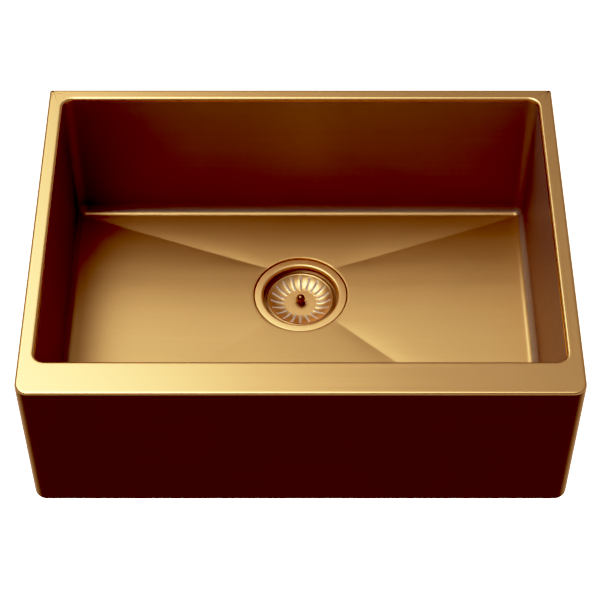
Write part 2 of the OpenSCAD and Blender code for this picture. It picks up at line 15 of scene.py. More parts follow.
import bmesh
import bpy
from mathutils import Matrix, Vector

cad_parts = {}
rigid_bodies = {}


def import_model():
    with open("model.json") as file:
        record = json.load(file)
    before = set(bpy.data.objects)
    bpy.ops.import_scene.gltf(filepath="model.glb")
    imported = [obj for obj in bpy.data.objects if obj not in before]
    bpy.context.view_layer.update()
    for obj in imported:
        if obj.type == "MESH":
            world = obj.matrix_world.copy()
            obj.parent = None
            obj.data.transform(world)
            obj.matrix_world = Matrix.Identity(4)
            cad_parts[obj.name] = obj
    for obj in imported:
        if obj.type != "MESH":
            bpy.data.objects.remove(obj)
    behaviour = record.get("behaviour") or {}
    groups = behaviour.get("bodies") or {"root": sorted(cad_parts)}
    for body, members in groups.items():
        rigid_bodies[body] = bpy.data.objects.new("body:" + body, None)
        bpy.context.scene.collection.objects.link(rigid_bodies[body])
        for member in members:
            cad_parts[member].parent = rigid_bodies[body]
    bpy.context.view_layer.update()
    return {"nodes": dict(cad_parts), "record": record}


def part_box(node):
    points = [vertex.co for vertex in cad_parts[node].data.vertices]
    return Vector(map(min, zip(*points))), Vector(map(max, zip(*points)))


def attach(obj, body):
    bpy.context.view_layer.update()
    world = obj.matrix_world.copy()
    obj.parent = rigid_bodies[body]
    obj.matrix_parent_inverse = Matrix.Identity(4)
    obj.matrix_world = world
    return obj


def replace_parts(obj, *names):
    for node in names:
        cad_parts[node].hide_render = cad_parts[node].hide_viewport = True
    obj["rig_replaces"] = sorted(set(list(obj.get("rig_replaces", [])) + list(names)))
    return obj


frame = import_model()

log = logging.getLogger("sink")
MM = 0.001
SINK_BODY = "sink"
Point = tuple[float, float, float]


# ---------------------------------------------------------------- shader maths


class Wire:
    """One shader socket, with arithmetic that adds Math nodes."""

    def __init__(self, recipe: "Recipe", socket: bpy.types.NodeSocket | None) -> None:
        """Wraps a socket of a recipe's node tree, or none for a node without outputs."""
        self.recipe = recipe
        self.socket = socket

    def _maths(self, operation: str, *values: "Wire | float") -> "Wire":
        """Adds one Math node.

        Args:
            operation: Math node operation.
            values: Its operands, in order.

        Returns:
            The node's result.
        """
        return self.recipe.make(
            "ShaderNodeMath", {"operation": operation}, dict(enumerate(values))
        )

    def __add__(self, other: "Wire | float") -> "Wire":
        """Sum."""
        return self._maths("ADD", self, other)

    __radd__ = __add__

    def __sub__(self, other: "Wire | float") -> "Wire":
        """Difference."""
        return self._maths("SUBTRACT", self, other)

    def __rsub__(self, other: "Wire | float") -> "Wire":
        """Difference, with this socket on the right."""
        return self._maths("SUBTRACT", other, self)

    def __mul__(self, other: "Wire | float") -> "Wire":
        """Product."""
        return self._maths("MULTIPLY", self, other)

    __rmul__ = __mul__

    def held(self, low: float = 0.0, high: float = 1.0) -> "Wire":
        """Holds the value between low and high."""
        return self._maths("MAXIMUM", self._maths("MINIMUM", self, high), low)


class Recipe:
    """Builds one node tree: a material's, or the world's."""

    def __init__(self, tree: bpy.types.NodeTree) -> None:
        """Starts with an empty tree."""
        self.tree = tree
        tree.nodes.clear()

    def make(self, kind: str, settings: dict | None = None, inputs: dict | None = None,
             output: int | str = 0) -> Wire:
        """Adds any node.

        Args:
            kind: Node type, such as ShaderNodeMath.
            settings: Attributes to set first.
            inputs: Values or wires by socket name or index.
            output: Name or index of the output to return.

        Returns:
            The chosen output.
        """
        node = self.tree.nodes.new(kind)
        for key, value in (settings or {}).items():
            setattr(node, key, value)
        for key, value in (inputs or {}).items():
            if isinstance(value, Wire):
                self.tree.links.new(value.socket, node.inputs[key])
            else:
                node.inputs[key].default_value = value
        return Wire(self, node.outputs[output] if node.outputs else None)

    def place(self) -> Wire:
        """Object coordinates, which are the frame's own metres."""
        return self.make("ShaderNodeTexCoord", output="Object")

    def axes(self, place: Wire) -> list[Wire]:
        """Splits a vector.

        Args:
            place: The vector.

        Returns:
            Its X, Y and Z.
        """
        node = self.make("ShaderNodeSeparateXYZ", {}, {0: place}).socket.node
        return [Wire(self, node.outputs[axis]) for axis in "XYZ"]

    def noise(self, place: Wire, stretch: Point, detail: float = 2.0) -> Wire:
        """Noise with its own frequency per metre along each axis.

        Args:
            place: Coordinates.
            stretch: Frequencies along X, Y and Z.
            detail: Octaves.

        Returns:
            A value from 0 to 1, mostly near the middle.
        """
        scaled = self.make("ShaderNodeVectorMath", {"operation": "MULTIPLY"}, {0: place, 1: stretch})
        return self.make("ShaderNodeTexNoise", {}, {"Vector": scaled, "Scale": 1.0, "Detail": detail})

    def blend(self, amount: Wire | float, first: Sequence[float] | Wire,
              second: Sequence[float] | Wire) -> Wire:
        """Mixes two colours.

        Args:
            amount: 0 gives the first, 1 the second.
            first: Colour as rgb, or a wire.
            second: Colour as rgb, or a wire.

        Returns:
            The mixed colour.
        """
        one, two = (c if isinstance(c, Wire) else (*c, 1.0) for c in (first, second))
        return self.make("ShaderNodeMix", {"data_type": "RGBA"}, {0: amount, 6: one, 7: two}, output=2)

    def bump(self, height: Wire, strength: float, distance: float) -> Wire:
        """Normal from a height in the range 0 to 1."""
        return self.make("ShaderNodeBump", {},
                         {"Height": height, "Strength": strength, "Distance": distance}, "Normal")

    def surface(self, inputs: dict) -> None:
        """Ends a material with a Principled shader.

        Args:
            inputs: Values or wires by the shader's socket names.
        """
        shader = self.make("ShaderNodeBsdfPrincipled", {}, inputs, "BSDF")
        self.make("ShaderNodeOutputMaterial", {}, {"Surface": shader})


def new_material(name: str) -> tuple[bpy.types.Material, Recipe]:
    """Makes an empty node material."""
    material = bpy.data.materials.new(name)
    material.use_nodes = True
    return material, Recipe(material.node_tree)


# -------------------------------------------------------------------- finishes


class Grain(Enum):
    """Which way a brushed face's lines run, with the noise's frequencies per metre."""

    ALONG_X = (3.0, 520.0, 520.0)
    ALONG_Y = (520.0, 3.0, 520.0)


class Face(Enum):
    """Kinds of face on the sink, with the first of each kind's two material indices."""

    FLOOR = 0
    WALL = 2
    DECK = 4
    APRON = 6


class Finish:
    """A surface finish; each kind says what its shader is given."""

    name: str

    def label(self) -> str:
        """Name of the finish's material."""
        return self.name

    def coat(self, r: Recipe, place: Wire) -> dict:
        """Adds the nodes of the finish.

        Args:
            r: Recipe of the new material.
            place: Object coordinates.

        Returns:
            Values or wires by the Principled shader's socket names.
        """
        raise NotImplementedError

    def material(self) -> bpy.types.Material:
        """Makes the finish's material."""
        material, r = new_material(self.label())
        r.surface(self.coat(r, r.place()))
        return material


@dataclass(frozen=True)
class BrushedGold(Finish):
    """Satin brushed steel under a gold-coloured coat.

    The tint is the lines' lighter colour and deep their darker one; side_metal takes
    the place of metal on faces that are brushed from front to back.
    """

    name: str
    grain: Grain
    tint: Point = (0.98, 0.60, 0.235)
    deep: Point = (0.93, 0.56, 0.215)
    edge_tint: Point = (1.0, 0.8, 0.6)
    metal: float = 1.0
    side_metal: float | None = None
    gloss: float = 0.5
    rough: float = 0.25
    rough_swing: float = 0.08
    line_depth: float = 0.00002

    def label(self) -> str:
        """The finish's name and the way that its lines run."""
        return f"{self.name}_{self.grain.name.lower()}"

    def coat(self, r: Recipe, place: Wire) -> dict:
        """Inputs of this finish's shader."""
        fine = r.noise(place, self.grain.value, 3.0)
        broad = r.noise(place, tuple(v * 0.12 for v in self.grain.value), 2.0)
        cloud = r.noise(place, (7.0, 7.0, 7.0), 2.0)
        lines = (fine * 0.6 + broad * 0.4).held()
        return {
            "Base Color": r.blend(((lines - 0.5) * 1.4 + cloud * 0.6 + 0.2).held(), self.deep, self.tint),
            "Metallic": self.metal,
            "Specular Tint": (*self.edge_tint, 1.0),
            "Specular IOR Level": self.gloss,
            "Roughness": self.rough + (lines - 0.5) * self.rough_swing + (cloud - 0.5) * 0.05,
            "Normal": r.bump(fine, 0.25, self.line_depth),
        }


@dataclass(frozen=True)
class PolishedGold(Finish):
    """Turned and polished gold-coloured steel, brushed in rings about the drain."""

    name: str
    tint: Point = (0.98, 0.61, 0.245)
    deep: Point = (0.94, 0.57, 0.22)
    metal: float = 0.88
    rough: float = 0.38
    ring_depth: float = 0.000006

    def coat(self, r: Recipe, place: Wire) -> dict:
        """Inputs of this finish's shader."""
        centre = r.make("ShaderNodeVectorMath", {"operation": "SUBTRACT"}, {0: place, 1: (0.0, DRAIN.y, 0.0)})
        flat = r.make("ShaderNodeVectorMath", {"operation": "MULTIPLY"}, {0: centre, 1: (1.0, 1.0, 0.0)})
        reach = r.make("ShaderNodeVectorMath", {"operation": "LENGTH"}, {0: flat}, "Value")
        rings = r.make("ShaderNodeTexNoise", {"noise_dimensions": "1D"},
                       {"W": reach, "Scale": 2600.0, "Detail": 2.0})
        cloud = r.noise(place, (60.0, 60.0, 60.0), 2.0)
        return {
            "Base Color": r.blend(cloud, self.deep, self.tint),
            "Metallic": self.metal,
            "Roughness": self.rough + (rings - 0.5) * 0.06 + (cloud - 0.5) * 0.05,
            "Normal": r.bump(rings, 0.2, self.ring_depth),
        }


@dataclass(frozen=True)
class ZincPlate(Finish):
    """Bright zinc on folded steel, with its cloudy spangle."""

    name: str = "zinc_plate"
    light: Point = (0.74, 0.75, 0.77)
    dark: Point = (0.55, 0.57, 0.60)

    def coat(self, r: Recipe, place: Wire) -> dict:
        """Inputs of this finish's shader."""
        spangle = r.make("ShaderNodeTexVoronoi", {}, {"Vector": place, "Scale": 180.0}, "Distance")
        cloud = r.noise(place, (25.0, 25.0, 25.0), 3.0)
        mixed = (spangle * 0.7 + cloud * 0.5).held()
        return {
            "Base Color": r.blend(mixed, self.dark, self.light),
            "Metallic": 1.0,
            "Roughness": 0.30 + mixed * 0.2,
            "Normal": r.bump(cloud, 0.15, 0.0001),
        }


@dataclass(frozen=True)
class SoftBlack(Finish):
    """Black rubber or bitumen, with a grain of so many specks per metre."""

    name: str
    colour: Point
    wear_and_highlight: Point
    grain: float
    rough: float
    depth: float

    def coat(self, r: Recipe, place: Wire) -> dict:
        """Inputs of this finish's shader."""
        grit = r.noise(place, (self.grain,) * 3, 3.0)
        cloud = r.noise(place, (18.0, 18.0, 18.0), 2.0)
        return {
            "Base Color": r.blend((cloud * 0.6 + grit * 0.4).held(), self.colour, self.wear_and_highlight),
            "Roughness": self.rough + (grit - 0.5) * 0.15,
            "Normal": r.bump(grit, 0.5, self.depth),
        }


@dataclass(frozen=True)
class MouldedPlastic(Finish):
    """White moulded plastic with a faint orange-peel skin."""

    name: str = "moulded_plastic"
    colour: Point = (0.80, 0.80, 0.78)
    shade: Point = (0.72, 0.72, 0.69)

    def coat(self, r: Recipe, place: Wire) -> dict:
        """Inputs of this finish's shader."""
        peel = r.noise(place, (900.0, 900.0, 900.0), 1.0)
        cloud = r.noise(place, (22.0, 22.0, 22.0), 2.0)
        return {
            "Base Color": r.blend(cloud, self.colour, self.shade),
            "Roughness": 0.36 + (peel - 0.5) * 0.1,
            "Normal": r.bump(peel, 0.15, 0.00003),
        }


@dataclass(frozen=True)
class TurnedBrass(Finish):
    """Plain turned brass."""

    name: str = "turned_brass"

    def coat(self, r: Recipe, place: Wire) -> dict:
        """Inputs of this finish's shader."""
        lines = r.noise(place, (80.0, 80.0, 1800.0), 1.0)
        return {
            "Base Color": r.blend(lines, (0.70, 0.50, 0.20), (0.83, 0.63, 0.30)),
            "Metallic": 1.0,
            "Roughness": 0.25 + lines * 0.12,
            "Normal": r.bump(lines, 0.2, 0.00002),
        }


# ---------------------------------------------------------------- mesh drafting


@dataclass
class MeshDraft:
    """Vertices and faces gathered before they become an object."""

    name: str
    verts: list[Point] = field(default_factory=list)
    faces: list[tuple[int, ...]] = field(default_factory=list)
    slots: list[int] = field(default_factory=list)

    def row(self, points: Iterable[Point]) -> list[int]:
        """Adds a row of points and returns their indices."""
        start = len(self.verts)
        self.verts.extend(points)
        return list(range(start, len(self.verts)))

    def bridge(self, first: Sequence[int], second: Sequence[int], closed: bool = True,
               slot: Callable[[int], int] | int = 0) -> None:
        """Fills between two rows with quads.

        Args:
            first: Indices of one row.
            second: Indices of the next row, as many.
            closed: Whether the rows close on themselves.
            slot: Material index, or a function of the column.
        """
        count = len(first)
        for i in range(count if closed else count - 1):
            j = (i + 1) % count
            self.faces.append((first[i], first[j], second[j], second[i]))
            self.slots.append(slot(i) if callable(slot) else slot)

    def cap(self, row: Sequence[int], slot: int = 0) -> None:
        """Closes a row with one face."""
        self.faces.append(tuple(row))
        self.slots.append(slot)

    def build(self, materials: Sequence[bpy.types.Material], merge: float = 1e-6) -> bpy.types.Object:
        """Makes the object, smooth shaded and with doubled points merged.

        Args:
            materials: The object's material slots.
            merge: Distance under which points are one.

        Returns:
            The new object, linked to the scene.
        """
        mesh = bpy.data.meshes.new(self.name)
        mesh.from_pydata(self.verts, [], self.faces)
        mesh.polygons.foreach_set("material_index", self.slots)
        mesh.polygons.foreach_set("use_smooth", [True] * len(self.faces))
        for material in materials:
            mesh.materials.append(material)
        work = bmesh.new()
        work.from_mesh(mesh)
        bmesh.ops.remove_doubles(work, verts=work.verts, dist=merge)
        bmesh.ops.dissolve_degenerate(work, edges=work.edges, dist=merge)
        work.to_mesh(mesh)
        work.free()
        piece = bpy.data.objects.new(self.name, mesh)
        bpy.context.scene.collection.objects.link(piece)
        return piece


def held(value: float, low: float = 0.0, high: float = 1.0) -> float:
    """Holds a number between low and high."""
    return min(max(value, low), high)


def quarter(count: int) -> list[tuple[float, float]]:
    """Cosine and sine over a quarter turn, ends included."""
    return [(math.cos(a), math.sin(a)) for a in (math.pi / 2 * i / count for i in range(count + 1))]


def freeze(piece: bpy.types.Object) -> None:
    """Applies a piece's modifiers to its mesh."""
    graph = bpy.context.evaluated_depsgraph_get()
    mesh = bpy.data.meshes.new_from_object(piece.evaluated_get(graph))
    piece.modifiers.clear()
    piece.data = mesh


def settle(piece: bpy.types.Object, body: str, slot: str, *nodes: str) -> bpy.types.Object:
    """Rides a piece on a body and hides the nodes that it replaces."""
    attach(piece, body)
    if nodes:
        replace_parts(piece, *nodes)
    return piece


def revolve(name: str, profile: Sequence[tuple[float, float]], centre: Vector,
            material: bpy.types.Material, steps: int = 128) -> bpy.types.Object:
    """Turns a closed outline of (radius, height) about the vertical through centre.

    Args:
        name: Piece name.
        profile: Outline, anticlockwise with radius to the right and height up.
        centre: Point that the radii and heights are measured from.
        material: Its material.
        steps: Segments round the turn.

    Returns:
        The new object.
    """
    draft = MeshDraft(name)
    rings = []
    for radius, height in profile:
        rings.append(draft.row(
            (centre.x + radius * math.cos(a), centre.y + radius * math.sin(a), centre.z + height)
            for a in (2 * math.pi * i / steps for i in range(steps))
        ))
    for k, ring in enumerate(rings):
        draft.bridge(ring, rings[(k + 1) % len(rings)])
    return draft.build([material])


def softened(outline: Sequence[tuple[float, float]], radii: Sequence[float],
             steps: int = 4, guard: float = 0.3 * MM) -> list[tuple[float, float]]:
    """Rounds an outline's corners and adds guard points that keep its flats flat.

    Args:
        outline: Corners of a closed outline.
        radii: Radius at each corner; 0 leaves it sharp, with guards beside it.
        steps: Segments per rounding.
        guard: Distance of the guard points from a rounding.

    Returns:
        The finer outline.
    """
    out: list[tuple[float, float]] = []
    count = len(outline)
    for i, radius in enumerate(radii):
        here = Vector(outline[i])
        back = Vector(outline[i - 1]) - here
        ahead = Vector(outline[(i + 1) % count]) - here
        angle = back.angle(ahead)
        reach = min(radius / math.tan(angle / 2) if radius else 0.0, 0.45 * min(back.length, ahead.length))
        start, end = here + back.normalized() * reach, here + ahead.normalized() * reach
        room = min(back.length, ahead.length) * 0.48
        if reach + guard < room:
            out.append(tuple(start + back.normalized() * guard))
        if reach:
            for k in range(steps + 1):
                t = k / steps
                out.append(tuple(start * (1 - t) ** 2 + here * (2 * t * (1 - t)) + end * t ** 2))
        else:
            out.append(tuple(here))
        if reach + guard < room:
            out.append(tuple(end + ahead.normalized() * guard))
    return out


# -------------------------------------------------------------- sizes in common

RIM_HIGH = Vector((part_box("rim_right")[1].x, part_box("rim_back")[1].y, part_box("rim_back")[1].z))
APRON_LOW, APRON_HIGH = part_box("apron")
WALL_FRONT, WALL_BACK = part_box("wall_front")[0].y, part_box("wall_back")[1].y
WALL_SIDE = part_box("wall_right")[1].x
FLOOR_LOW, FLOOR_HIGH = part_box("bowl_floor")
CUP_LOW, CUP_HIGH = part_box("strainer_cup")
SHEET = 1.2 * MM
RECESS_DEPTH = 4 * MM
DRAIN = Vector((0.0, (CUP_LOW.y + CUP_HIGH.y) / 2, FLOOR_LOW.z + RECESS_DEPTH + SHEET))


# ----------------------------------------------------------------- sheet metal


@dataclass(frozen=True)
class Station:
    """One place on a rounded rectangle: a point and the outward direction there."""

    x: float
    y: float
    nx: float
    ny: float
    corner_r: float = 0.0
    side: str = ""

    def at(self, offset: float, z: float) -> Point:
        """The point at an offset outwards; inside a corner's centre it goes to the mitre."""
        if self.corner_r and -offset > self.corner_r:
            cx, cy = self.x - self.nx * self.corner_r, self.y - self.ny * self.corner_r
            past = -offset - self.corner_r
            sx, sy = (1 if self.side[1] == "r" else -1), (1 if self.side[0] == "b" else -1)
            return (cx - sx * past, cy - sy * past, z)
        return (self.x + self.nx * offset, self.y + self.ny * offset, z)


def side_marks(start: float, end: float, marks: Sequence[float]) -> list[float]:
    """Places along a side, from fractions of its length."""
    return [start + (end - start) * m for m in marks]


@dataclass
class SinkShell:
    """Rim, bowl and apron as one folded and welded sheet.

    The floor falls to the drain as four faces, which meet in soft creases.
    """

    sheet: float = SHEET
    fillet: float = 12 * MM
    lip: float = 3 * MM
    edge: float = 3 * MM
    front_corner: float = 15 * MM
    hem: float = 12 * MM
    fall: float = 6 * MM
    recess_r: float = 57.5 * MM
    recess_edge: float = 0.9 * MM
    hole_r: float = 47.8 * MM
    corner_steps: int = 12
    crease_spread: float = math.radians(4.0)
    crease_soft: float = 0.012
    groove: float = 0.7 * MM
    groove_w: float = 14 * MM
    floor_rows: int = 26

    def __post_init__(self) -> None:
        """Works out the outlines of bowl and rim."""
        self.top = RIM_HIGH.z
        self.bowl_x = WALL_SIDE - self.sheet
        self.bowl_front = WALL_FRONT + self.sheet
        self.bowl_back = WALL_BACK - self.sheet
        self.floor_z = FLOOR_HIGH.z - self.fillet
        self.rim_x = RIM_HIGH.x
        self.rim_front = APRON_LOW.y
        self.rim_back = RIM_HIGH.y
        self.square = self.recess_r / math.sqrt(2)
        # Stations along a side, as shares of its length: they crowd towards its ends.
        self.ends = [0.0, 0.006, 0.014, 0.026, 0.045, 0.075]
        middle = [0.12 + 0.76 * i / 18 for i in range(19)]
        self.marks = self.ends + middle + [1 - m for m in reversed(self.ends)]
        self.return_mark = len(self.ends)

    # -- outlines

    def _outline(self, x: float, front: float, back: float, front_r: float, back_r: float,
                 left_right: Sequence[float] | None = None) -> list[Station]:
        """Stations anticlockwise round a rectangle with rounded corners.

        Args:
            x: Half width.
            front: Y of the front side.
            back: Y of the back side.
            front_r: Radius of the front corners.
            back_r: Radius of the back corners.
            left_right: Y places along the sides, front to back; at the marks if None.

        Returns:
            The stations, starting at the front end of the right side.
        """
        stations: list[Station] = []
        sides = list(left_right or side_marks(front + front_r, back - back_r, self.marks))

        def corner(cx: float, cy: float, r: float, start: float, name: str) -> None:
            for k in range(1, self.corner_steps):
                a = start + math.pi / 2 * k / self.corner_steps
                n = (math.cos(a), math.sin(a))
                stations.append(Station(cx + r * n[0], cy + r * n[1], *n, r, name))

        stations += [Station(x, y, 1.0, 0.0, 0.0, "r") for y in sides]
        corner(x - back_r, back - back_r, back_r, 0.0, "br")
        stations += [Station(v, back, 0.0, 1.0, 0.0, "b")
                     for v in side_marks(x - back_r, -x + back_r, self.marks)]
        corner(-x + back_r, back - back_r, back_r, math.pi / 2, "bl")
        stations += [Station(-x, y, -1.0, 0.0, 0.0, "l") for y in reversed(sides)]
        corner(-x + front_r, front + front_r, front_r, math.pi, "fl")
        stations += [Station(v, front, 0.0, -1.0, 0.0, "f")
                     for v in side_marks(-x + front_r, x - front_r, self.marks)]
        corner(x - front_r, front + front_r, front_r, 1.5 * math.pi, "fr")
        return stations

    def _rim_sides(self) -> list[float]:
        """Y places along the rim's sides, with one where the apron's returns end."""
        start, end = self.rim_front + self.front_corner, self.rim_back - self.edge
        stop = APRON_HIGH.y
        near = [start + (stop - start) * k / self.return_mark for k in range(self.return_mark)]
        rest = len(self.marks) - self.return_mark
        far = [stop + (end - stop) * k / (rest - 1) for k in range(rest)]
        return near + far

    # -- floor

    def _floor_height(self, x: float, y: float) -> float:
        """Height of the faceted floor, with softly creased valleys.

        A shallow groove runs along each crease. It deepens over the first sixth of
        the run from the drain and fades out over the last twelfth.
        """
        dy = y - DRAIN.y
        valley_r = 1.2 * MM
        run_x = self.bowl_x - self.fillet - self.square
        run_back = self.bowl_back - self.fillet - DRAIN.y - self.square
        run_front = DRAIN.y - self.bowl_front - self.fillet - self.square
        run_y = run_back if dy > 0 else run_front
        side, other = (abs(x) - self.square) / run_x, (abs(dy) - self.square) / run_y
        high = (side + other + math.hypot(side - other, self.crease_soft)) / 2
        off = (side - other) / math.hypot(1 / run_x, 1 / run_y)
        ends = held(min(side, other) * 6.0) * held((1.0 - high) * 12.0)
        groove = self.groove * ends * math.exp(-math.hypot(off, valley_r) / self.groove_w)
        return self.floor_z - self.fall + self.fall * held(high) - groove

    def _drain_angles(self) -> list[float]:
        """Angle round the drain that each station's floor line runs to."""
        spread, half = self.crease_spread, math.pi / 4
        angles: list[float] = []
        for side in range(4):
            middle = side * math.pi / 2
            angles += [middle + (2 * m - 1) * (half - spread) for m in self.marks]
            angles += [middle + half + spread * (2 * k / self.corner_steps - 1)
                       for k in range(1, self.corner_steps)]
        return angles

    # -- the sheet

    def build(self, finishes: Sequence[bpy.types.Material]) -> bpy.types.Object:
        """Builds the whole sheet.

        Args:
            finishes: For each Face in turn, the finish brushed from side to side and the one brushed from
                front to back; those of floor, walls and apron are darkened with painted shade.

        Returns:
            The finished piece.
        """
        draft = MeshDraft("sink_shell")
        bowl = self._outline(self.bowl_x, self.bowl_front, self.bowl_back, self.fillet, self.fillet)
        rim = self._outline(self.rim_x, self.rim_front, self.rim_back, self.front_corner, self.edge,
                            self._rim_sides())
        self.grain = [1 if abs(s.nx) > abs(s.ny) + 1e-6 else 0 for s in bowl]
        self._floor(draft, bowl)
        above = self._walls_and_deck(draft, bowl, rim)
        self._apron(draft, rim, above)
        shell = draft.build(finishes)
        thick = shell.modifiers.new("sheet", "SOLIDIFY")
        thick.thickness = self.sheet
        thick.offset = -1.0
        thick.use_even_offset = True
        freeze(shell)
        sides = ("right", "back", "left", "front")
        panels = [f"{part}_{side}" for part in ("rim", "wall") for side in sides]
        return settle(shell, SINK_BODY, "gold_steel", *panels, "bowl_floor", "apron")

    def _finish(self, face: Face) -> Callable[[int], int]:
        """Material index by column for a kind of face."""
        return lambda column: face.value + self.grain[column]

    def _floor(self, draft: MeshDraft, bowl: Sequence[Station]) -> None:
        """Adds the recess with its hole, and the floor out to the fillet.

        The recess is level up to its wall; from there on each ring follows the floor.
        """
        angles = self._drain_angles()
        seat = -RECESS_DEPTH
        curve = self.recess_edge
        rings = [(self.hole_r, seat), (self.hole_r + 0.8 * MM, seat),
                 (self.recess_r - 1.2 * MM, seat), (self.recess_r - 0.5 * MM, seat + 0.15 * MM),
                 (self.recess_r, seat + 0.9 * MM)]
        rings += [(self.recess_r + curve * (1 - c), -curve + curve * s) for c, s in quarter(4)]
        rows = []
        for radius, height in rings:
            points = []
            for a in angles:
                x, y = radius * math.cos(a), DRAIN.y + radius * math.sin(a)
                lift = self._floor_height(x, y) - DRAIN.z if height > -curve * 1.5 else 0.0
                points.append((x, y, DRAIN.z + height + lift))
            rows.append(draft.row(points))
        start = self.recess_r + curve
        shares = [0.012] + [0.03 + 0.955 * (i / self.floor_rows) for i in range(self.floor_rows + 1)]
        for share in shares:
            points = []
            for a, station in zip(angles, bowl):
                ex, ey, _ = station.at(-self.fillet, 0.0)
                sx, sy = start * math.cos(a), DRAIN.y + start * math.sin(a)
                x, y = sx + (ex - sx) * share, sy + (ey - sy) * share
                points.append((x, y, self._floor_height(x, y)))
            rows.append(draft.row(points))
        for first, second in zip(rows, rows[1:]):
            draft.bridge(second, first, slot=0)
        self._floor_rim = rows[-1]

    def _walls_and_deck(self, draft: MeshDraft, bowl: Sequence[Station],
                        rim: Sequence[Station]) -> list[int]:
        """Adds fillet, walls, lip, deck and folded edge, and returns the lowest row of the fold."""
        guard, near = 1.5 * MM, 20 * MM
        foot, lip_z = self.floor_z + self.fillet, self.top - self.lip
        fold_z = self.top - self.edge
        curve = [(-self.fillet + self.fillet * s, foot - self.fillet * c) for c, s in quarter(12)]
        wall = [(0.0, foot + guard), (0.0, foot + near), (0.0, lip_z - near), (0.0, lip_z - guard)]
        lip = [(self.lip - self.lip * c, lip_z + self.lip * s) for c, s in quarter(6)]
        lip.append((self.lip + guard, self.top))
        fold = [(-self.edge - guard, self.top)]
        fold += [(-self.edge + self.edge * s, fold_z + self.edge * c) for c, s in quarter(6)]
        fold += [(0.0, fold_z - guard), (0.0, guard), (0.0, 0.0)]
        bands = (
            (bowl, curve[:5], Face.FLOOR),
            (bowl, curve[5:] + wall, Face.WALL),
            (bowl, lip, Face.DECK),
            (rim, fold[:8], Face.DECK),
            (rim, fold[8:], Face.APRON),
        )
        last = self._floor_rim
        for path, rows, face in bands:
            for offset, z in rows:
                row = draft.row(s.at(offset, z) for s in path)
                draft.bridge(row, last, slot=self._finish(face))
                last = row
        return last

    def _apron(self, draft: MeshDraft, rim: Sequence[Station], above: Sequence[int]) -> None:
        """Carries the fold on down to the hem, over the front and its returns."""
        count = len(rim)
        guard, near = 1.5 * MM, 20 * MM
        left_start = next(i for i in range(count) if rim[i].side == "l")
        left_end = left_start + len(self.marks) - 1 - self.return_mark
        columns = [i % count for i in range(left_end, count + self.return_mark + 1)]
        foot = APRON_LOW.z + self.edge
        rows: list[tuple[float, float]] = [(0.0, -near), (0.0, foot + near), (0.0, foot + guard)]
        rows += [(-self.edge + self.edge * c, foot - self.edge * s) for c, s in quarter(6)]
        rows += [(-self.edge - guard, foot - self.edge), (-self.hem, foot - self.edge)]
        last = [above[i] for i in columns]
        for offset, z in rows:
            row = draft.row(rim[i].at(offset, z) for i in columns)
            draft.bridge(row, last, closed=False,
                         slot=lambda k: Face.APRON.value + self.grain[columns[k]])
            last = row


# -------------------------------------------------------------------- strainer


